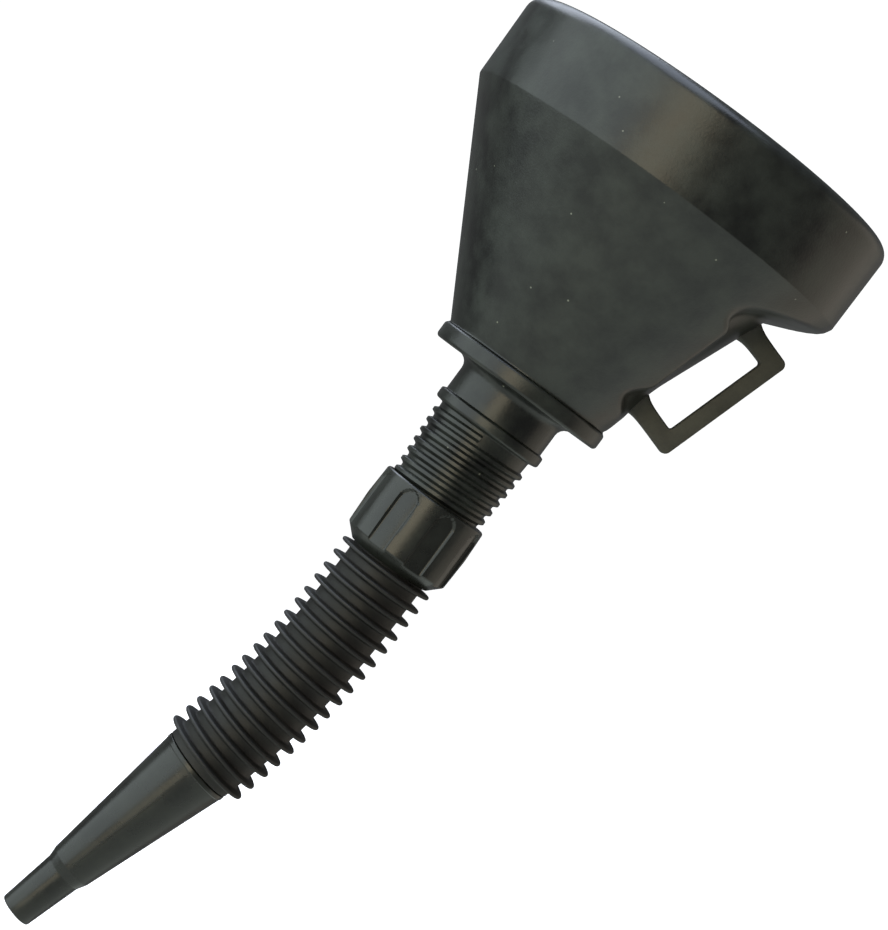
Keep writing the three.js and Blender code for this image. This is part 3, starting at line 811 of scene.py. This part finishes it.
def gauze_skins():
    level = (STRAINER_Z + STRAINER_TOP_Z) / 2
    count = int((GAUZE_RADIUS - WIRE_PITCH / 2) / WIRE_PITCH)
    skins = []
    for i in range(-count, count + 1):
        phase = math.pi * (i % 2)
        skins.append(wire(i * WIRE_PITCH, phase, level, True))
        skins.append(wire(i * WIRE_PITCH, phase + math.pi, level, False))
    return skins


class FUNNEL_OT_strainer(bpy.types.Operator):
    """Make the strainer's ring and its woven gauze"""

    bl_idname = "funnel.strainer"
    bl_label = "Strainer"

    def execute(self, context):
        ring_width = 4.4 * MM
        edge = 0.5 * MM
        inner_edge = 0.9 * MM
        inner = STRAINER_RADIUS - ring_width
        outline = rounded(
            [
                (inner, STRAINER_Z, edge),
                (STRAINER_RADIUS, STRAINER_Z, edge),
                (STRAINER_RADIUS, STRAINER_TOP_Z, edge),
                (inner, STRAINER_TOP_Z, inner_edge),
            ]
        )
        rim = make("strainer_ring", [turned(outline, COLUMNS // 2)], material(satin_polyethylene))
        dress(rim, "strainer", "smooth_polyethylene", "strainer_rim")
        gauze = make("woven_gauze", gauze_skins(), material(drawn_brass))
        dress(gauze, "strainer", "brass_gauze", "strainer_gauze")
        return {"FINISHED"}


# ---- Coupling nut ----


def fluted(radius, z, angle, sizes):
    """Radius of the nut's outside, with flutes that have round tops and run out at the foot."""
    flank = 0.8 * MM
    below_top = NUT_TOP_Z - sizes.flute_top - z
    if below_top <= 0:
        return radius
    part = TURN / sizes.flutes
    off_centre = abs((angle % part) - part / 2) * sizes.radius
    half_width = sizes.flute_width / 2
    short = max(1 - below_top / half_width, 0)
    edge = half_width * math.sqrt(1 - short * short)
    floor = sizes.radius - sizes.flute_depth * smooth_step((edge - off_centre) / flank)
    return min(radius, floor)


def nut_hole():
    """Radius of the hole in the nut's foot, which the bellows pass through."""
    clearance = 0.4 * MM
    return settings().bellows.valley_radius + clearance


def nut_rings(sizes):
    """The outside of the nut, from its foot to its top edge."""
    hole = nut_hole()
    chamfer_top = NUT_END_Z + sizes.chamfer
    middle = (NUT_TOP_Z + chamfer_top) / 2
    outside = rounded(
        [
            (hole, NUT_END_Z, 0),
            (hole + 1 * MM, NUT_END_Z, 0.5 * MM),
            (sizes.end_radius, chamfer_top, 1.2 * MM),
            (sizes.radius, middle, 30 * MM),
            (sizes.end_radius, NUT_TOP_Z, sizes.top_round),
            (sizes.end_radius - 3 * MM, NUT_TOP_Z, 0),
        ],
        steps=6,
        closed=False,
    )
    rings = []
    for radius, z in divided(outside[1:-1], 0.6 * MM, closed=False):
        plain = ring(radius, z, NUT_COLUMNS)
        for i, point in enumerate(plain):
            point.xy *= fluted(radius, z, TURN * i / NUT_COLUMNS, sizes) / radius
        rings.append(plain)
    return rings


def nut_bore():
    """The inside of the nut, from its top edge down to the hole that the bellows pass through."""
    neck = settings().neck
    hole = nut_hole()
    bore = thread_radius(neck, NUT_TOP_Z) + 0.45 * MM
    seat = thread_radius(neck, NECK_END_Z) + 0.5 * MM
    seat_end = NUT_END_Z + 8.8 * MM
    corners = [
        (bore + 1 * MM, NUT_TOP_Z, 0),
        (bore, NUT_TOP_Z, 0.4 * MM),
        (seat, FLANGE_TOP_Z, 0),
        (seat, seat_end, 0.3 * MM),
        (hole, seat_end - 3.3 * MM, 0.3 * MM),
        (hole, NUT_END_Z, 0),
    ]
    return rounded(corners, closed=False)[1:]


class FUNNEL_OT_nut(bpy.types.Operator):
    """Make the coupling nut with its flutes"""

    bl_idname = "funnel.nut"
    bl_label = "Coupling nut"

    def execute(self, context):
        inside = [ring(r, z, NUT_COLUMNS) for r, z in nut_bore()]
        skin = (nut_rings(settings().nut) + inside, True)
        nut = make("nut_moulding", [skin], material(satin_polyethylene))
        dress(nut, "coupling_nut", "smooth_polyethylene", "coupling_nut")
        return {"FINISHED"}


# ---- Bellows ----

SEAM_INSET = 0.9 * MM  # from the crest's edge to where one piece of the bellows meets the next
ROOT_ROUND = 0.9 * MM  # between a crest's flank and the wall
PLAY = 0.3 * MM  # between pieces that touch in the real spout


def rest_bend(sizes, crest):
    """Bend just above a crest. Every other gap bends in the XZ plane."""
    if crest % 2:
        return 0
    count = math.ceil((sizes.crests - 1) / 2)
    share = crest / 2 / count
    share_above = (crest / 2 - 1) / count
    return sizes.bend * (share**sizes.bend_growth - share_above**sizes.bend_growth)


def crest_frame(sizes, crest):
    """Where a crest is, as a matrix: its origin is the crest's centre."""
    place = Matrix.Translation((0, 0, -sizes.first_crest))
    down = Matrix.Translation((0, 0, -sizes.pitch / 2))
    for number in range(2, crest + 1):
        place = place @ down @ Matrix.Rotation(rest_bend(sizes, number), 4, "Y") @ down
    return place


def lower_flank(sizes):
    """The underside of a crest from the seam to the wall below, as corners."""
    half = sizes.crest_thickness / 2
    seam = sizes.crest_radius - SEAM_INSET - SEAM
    return [(seam, -half - SEAM, 0), (sizes.valley_radius, -sizes.crest_root / 2, ROOT_ROUND)]


def crest_edge(sizes, level):
    """The upper side of a crest, its round edge, and its underside back to the seam."""
    half = sizes.crest_thickness / 2
    seam = sizes.crest_radius - SEAM_INSET
    edge = 0.9 * half
    return [
        (sizes.valley_radius, level + sizes.crest_root / 2, ROOT_ROUND),
        (sizes.crest_radius, level + half, edge),
        (sizes.crest_radius, level - half, edge),
        (seam, level - half, 0),
    ]


def web_outline(sizes):
    """The wall from under one crest to the next crest's edge, and back up inside."""
    seam = sizes.crest_radius - SEAM_INSET
    corners = [
        *lower_flank(sizes),
        *crest_edge(sizes, -sizes.pitch),
        (seam, -sizes.pitch, 0),
        (sizes.bore, -sizes.pitch, 0),
        (sizes.bore, -SEAM, 0),
        (seam - SEAM, -SEAM, 0),
    ]
    return divided(rounded(corners, steps=3), 0.8 * MM)


def bent(skin, sizes, crest):
    """Bends a web as the spout is bent there, and puts it under its crest."""
    half = sizes.crest_root / 2
    bend = rest_bend(sizes, crest + 1)
    pivot = Vector((0, 0, -sizes.pitch / 2))
    place = crest_frame(sizes, crest)
    rings, joined = skin
    result = []
    for points in rings:
        share = smooth_step((-points[0].z - half) / (sizes.pitch - 2 * half))
        turn = Matrix.Rotation(bend * share, 3, "Y")
        result.append([place @ (pivot + turn @ (point - pivot)) for point in points])
    return result, joined


def crest_body(sizes, crest):
    if crest == 1:
        return "bellows_cuff"
    if crest == sizes.crests:
        return "nozzle"
    return f"convolution_{crest:02d}"


def make_web(sizes, crest):
    """The piece of bellows between a crest and the next one, bent as the hinge between them rests."""
    name = f"bellows_web_{crest:02d}"
    skin = bent(turned(web_outline(sizes)), sizes, crest)
    web = make(name, [skin], material(blown_polyethylene))
    last = crest + 1 == sizes.crests
    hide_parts("bellows_end_cuff" if last else crest_body(sizes, crest + 1))
    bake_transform(web)


def make_flange():
    """The flange that the nut clamps against the end of the neck."""
    bore = settings().bellows.bore
    rim = thread_radius(settings().neck, NECK_END_Z)
    edge = 2.3 * MM
    corners = [
        (bore, FLANGE_END_Z, 0.3 * MM),
        (settings().bellows.valley_radius, FLANGE_END_Z, 0.3 * MM),
        (rim, FLANGE_TOP_Z - edge, 0.4 * MM),
        (rim, FLANGE_TOP_Z, 0.4 * MM),
        (bore, FLANGE_TOP_Z, 0.4 * MM),
    ]
    flange = make("flange_moulding", [turned(rounded(corners))], material(blown_polyethylene))
    dress(flange, "spout_flange", "soft_polyethylene", "spout_flange")


def make_top(sizes):
    """The plain tube inside the nut, and the first crest."""
    top = FLANGE_END_Z - PLAY + sizes.first_crest
    seam = sizes.crest_radius - SEAM_INSET
    corners = [
        (sizes.valley_radius, top, 0.3 * MM),
        *crest_edge(sizes, 0),
        (seam, 0, 0),
        (sizes.bore, 0, 0),
        (sizes.bore, top, 0.3 * MM),
    ]
    skin = moved(turned(rounded(corners)), crest_frame(sizes, 1))
    cuff = make("bellows_top", [skin], material(blown_polyethylene))
    dress(cuff, "bellows_cuff", "soft_polyethylene", "bellows_cuff")


def make_end(sizes, nozzle):
    """The underside of the last crest, and the plain end that is pushed into the nozzle."""
    seam = sizes.crest_radius - SEAM_INSET
    wall = 1.1 * MM
    spigot = nozzle_bore() - PLAY
    shoulder = -nozzle.gap + PLAY
    corners = [
        *lower_flank(sizes),
        (sizes.valley_radius, shoulder, 0.3 * MM),
        (spigot, shoulder, 0),
        (spigot, shoulder - nozzle.spigot, 0.3 * MM),
        (spigot - wall, shoulder - nozzle.spigot, 0.3 * MM),
        (spigot - wall, -SEAM, 0),
        (seam - SEAM, -SEAM, 0),
    ]
    skin = moved(turned(rounded(corners)), crest_frame(sizes, sizes.crests))
    end = make("bellows_end", [skin], material(blown_polyethylene))
    dress(end, "nozzle", "soft_polyethylene", "bellows_end_cuff")


class FUNNEL_OT_bellows(bpy.types.Operator):
    """Make the bellows, with a piece for each gap between crests"""

    bl_idname = "funnel.bellows"
    bl_label = "Bellows"

    def execute(self, context):
        sizes = settings().bellows
        make_flange()
        make_top(sizes)
        for crest in range(1, sizes.crests):
            make_web(sizes, crest)
        make_end(sizes, settings().nozzle)
        return {"FINISHED"}


# ---- Nozzle ----


def nozzle_bore():
    """Radius of the nozzle's socket, which the end of the bellows is pushed into."""
    wall = 1.7 * MM
    return settings().bellows.valley_radius - wall


def nozzle_outside(sizes, top):
    """From the top edge down to the end of the tip, as corners."""
    rim = settings().bellows.valley_radius
    taper_end = top - sizes.taper
    return [
        (rim, top, 0.5 * MM),
        (rim, top - sizes.collar, 0.2 * MM),
        (rim - 0.25 * MM, top - sizes.collar - 0.3 * MM, 0.2 * MM),
        (sizes.taper_end, taper_end, 1 * MM),
        (sizes.tip, taper_end - sizes.shoulder, 0.6 * MM),
        (sizes.tip_end, top - sizes.length, 0.6 * MM),
    ]


def parting_line(start, end, height, width):
    """A fine raised line between two (radius, z) places on the side that faces -Y."""
    sink = 0.3 * MM
    rings = []
    for radius, z in divided([start, end], 4 * MM, closed=False):
        low = radius - sink
        section = [(-width / 2, low), (-width / 4, radius + height), (width / 4, radius + height)]
        section.append((width / 2, low))
        rings.append([Vector((x, -out, z)) for x, out in section])
    return rings, False


class FUNNEL_OT_nozzle(bpy.types.Operator):
    """Make the tapered nozzle with its stepped tip"""

    bl_idname = "funnel.nozzle"
    bl_label = "Nozzle"

    def execute(self, context):
        sizes = settings().nozzle
        bellows = settings().bellows
        top = -sizes.gap
        taper_end = top - sizes.taper
        wall = sizes.taper_end - sizes.tip + 0.4 * MM
        bore = nozzle_bore()
        corners = [
            *nozzle_outside(sizes, top),
            (sizes.tip_bore, top - sizes.length, 0.3 * MM),
            (sizes.tip - wall, taper_end - sizes.shoulder, 1 * MM),
            (sizes.taper_end - wall, taper_end + 1 * MM, 1 * MM),
            (bore, top - sizes.spigot - 1 * MM, 0),
            (bore, top, 0.4 * MM),
        ]
        place = crest_frame(bellows, bellows.crests)
        tube = turned(divided(rounded(corners, steps=6), 4 * MM))
        line = parting_line(
            (bellows.valley_radius - 0.25 * MM, top - sizes.collar - 2 * MM),
            (sizes.taper_end + 0.2 * MM, taper_end + 2 * MM),
            height=0.3 * MM,
            width=0.8 * MM,
        )
        skins = [moved(tube, place), moved(line, place)]
        nozzle = make("nozzle_moulding", skins, material(satin_polyethylene))
        dress(nozzle, "nozzle", "smooth_polyethylene", "nozzle")
        return {"FINISHED"}


# ---- Stage ----

AIM = Vector((-5.18 * MM, 0, -36.8 * MM))
CAMERA_DISTANCE = 1.0706
CAMERA_RISE = math.radians(1.71)
CAMERA_ROLL = math.radians(36.32)
CAMERA_LENS = 113.1  # millimetres
CAMERA_SENSOR = 36  # millimetres, along the image's longer side
FLOOR_Z = -270 * MM
PAPER_GLOW = 0.95
WORLD_TONE = "#f2f4f6"
WORLD_GLOW = 0.17

# Soft lights: bearing in degrees from the camera's side towards +X, rise in degrees, distance, width and
# height in metres, brightness, colour
LIGHTS = {
    "window": (-67, 4, 1.2, 1.9, 1.7, 1.95, "#e4f0f0"),
    "near_lamp": (-13, 4, 1.2, 0.5, 1.3, 2.9, "#fff3d2"),
    "low_fill": (40, -82, 1.2, 3.6, 3.0, 0.72, "#eaf5ec"),
    "right_fill": (112, 4, 1.2, 1.3, 1.7, 0.5, "#fff2da"),
    "overhead": (-50, 68, 1.2, 1.0, 1.0, 3.5, "#dce8ff"),
    "back_left": (-128, 46, 1.2, 0.9, 0.9, 4.0, "#e6efff"),
}


def camera_turn():
    """The camera's turn: it looks along +Y from a little above, and is rolled."""
    back = Vector((0, -math.cos(CAMERA_RISE), math.sin(CAMERA_RISE)))
    level = (-back).cross(Vector((0, 0, 1))).normalized()
    upright = level.cross(-back)
    right = level * math.cos(CAMERA_ROLL) + upright * math.sin(CAMERA_ROLL)
    up = upright * math.cos(CAMERA_ROLL) - level * math.sin(CAMERA_ROLL)
    return Matrix((right, up, back)).transposed(), back


def add_camera():
    turn, back = camera_turn()
    data = bpy.data.cameras.new("camera")
    data.lens = CAMERA_LENS
    data.sensor_width = CAMERA_SENSOR
    camera = bpy.data.objects.new("camera", data)
    camera.matrix_world = Matrix.Translation(AIM + back * CAMERA_DISTANCE) @ turn.to_4x4()
    bpy.context.scene.collection.objects.link(camera)
    bpy.context.scene.camera = camera


def add_light(name, bearing, rise, distance, width, height, brightness, code):
    """A soft box that faces the funnel. It is as bright at any size, so its power grows with its area."""
    data = bpy.data.lights.new(name, "AREA")
    data.shape = "RECTANGLE"
    data.size = width
    data.size_y = height
    data.energy = brightness * math.pi * width * height
    data.color = linear(code)
    around = math.radians(bearing)
    up = math.radians(rise)
    way = Vector((math.sin(around) * math.cos(up), -math.cos(around) * math.cos(up), math.sin(up)))
    facing = way.to_track_quat("Z", "Y").to_matrix().to_4x4()
    lamp = bpy.data.objects.new(name, data)
    lamp.matrix_world = Matrix.Translation(AIM + way * distance) @ facing
    lamp.visible_camera = False
    bpy.context.scene.collection.objects.link(lamp)


def paper_sweep():
    """Floor and backdrop in one sheet, in metres, which curves up all round the funnel."""
    middle = 0.01
    radius = 4
    high = 5
    bend = 1.5
    thickness = 0.01
    outline = rounded(
        [
            (middle, FLOOR_Z, 0),
            (radius, FLOOR_Z, bend),
            (radius, high, 0),
            (radius + thickness, high, 0),
            (radius + thickness, FLOOR_Z - thickness, bend),
            (middle, FLOOR_Z - thickness, 0),
        ],
        steps=16,
    )
    return turned(outline)


class FUNNEL_OT_stage(bpy.types.Operator):
    """Make the camera, the soft lights and the paper floor"""

    bl_idname = "funnel.stage"
    bl_label = "Stage"

    def execute(self, context):
        add_camera()
        for name, light in LIGHTS.items():
            add_light(name, *light)
        paper = make("paper_floor", [paper_sweep()], material(matte_paper))
        paper.visible_glossy = False
        paper.visible_diffuse = False
        paper.visible_shadow = False
        world = bpy.data.worlds.new("studio")
        world.use_nodes = True
        surroundings = world.node_tree.nodes["Background"]
        surroundings.inputs["Color"].default_value = [*linear(WORLD_TONE), 1]
        surroundings.inputs["Strength"].default_value = WORLD_GLOW
        context.scene.world = world
        context.scene.view_settings.view_transform = "Standard"
        return {"FINISHED"}


class FUNNEL_PT_panel(bpy.types.Panel):
    """Lists the funnel's pieces and sizes"""

    bl_idname = "FUNNEL_PT_panel"
    bl_label = "Funnel"
    bl_space_type = "VIEW_3D"
    bl_region_type = "UI"
    bl_category = "Funnel"

    def draw(self, context):
        for operator in OPERATORS:
            self.layout.operator(operator.bl_idname)
        for group in GROUPS:
            sizes = getattr(context.scene.funnel, group)
            box = self.layout.box()
            box.label(text=group.capitalize())
            for name in sizes.__annotations__:
                box.prop(sizes, name)


OPERATORS = [
    FUNNEL_OT_bowl,
    FUNNEL_OT_grip,
    FUNNEL_OT_strainer,
    FUNNEL_OT_nut,
    FUNNEL_OT_bellows,
    FUNNEL_OT_nozzle,
    FUNNEL_OT_stage,
]
GROUPS = ["bowl", "grip", "neck", "nut", "bellows", "nozzle", "finishes"]
CLASSES = [
    BowlSizes,
    GripSizes,
    NeckSizes,
    NutSizes,
    BellowsSizes,
    NozzleSizes,
    Finishes,
    FunnelSettings,
    *OPERATORS,
    FUNNEL_PT_panel,
]


def register():
    for each in CLASSES:
        bpy.utils.register_class(each)
    bpy.types.Scene.funnel = PointerProperty(type=FunnelSettings)


def unregister():
    del bpy.types.Scene.funnel
    for each in reversed(CLASSES):
        bpy.utils.unregister_class(each)


def main():
    register()
    bpy.ops.funnel.bowl()
    bpy.ops.funnel.grip()
    bpy.ops.funnel.strainer()
    bpy.ops.funnel.nut()
    bpy.ops.funnel.bellows()
    bpy.ops.funnel.nozzle()
    bpy.ops.funnel.stage()


if __name__ == "__main__":
    main()
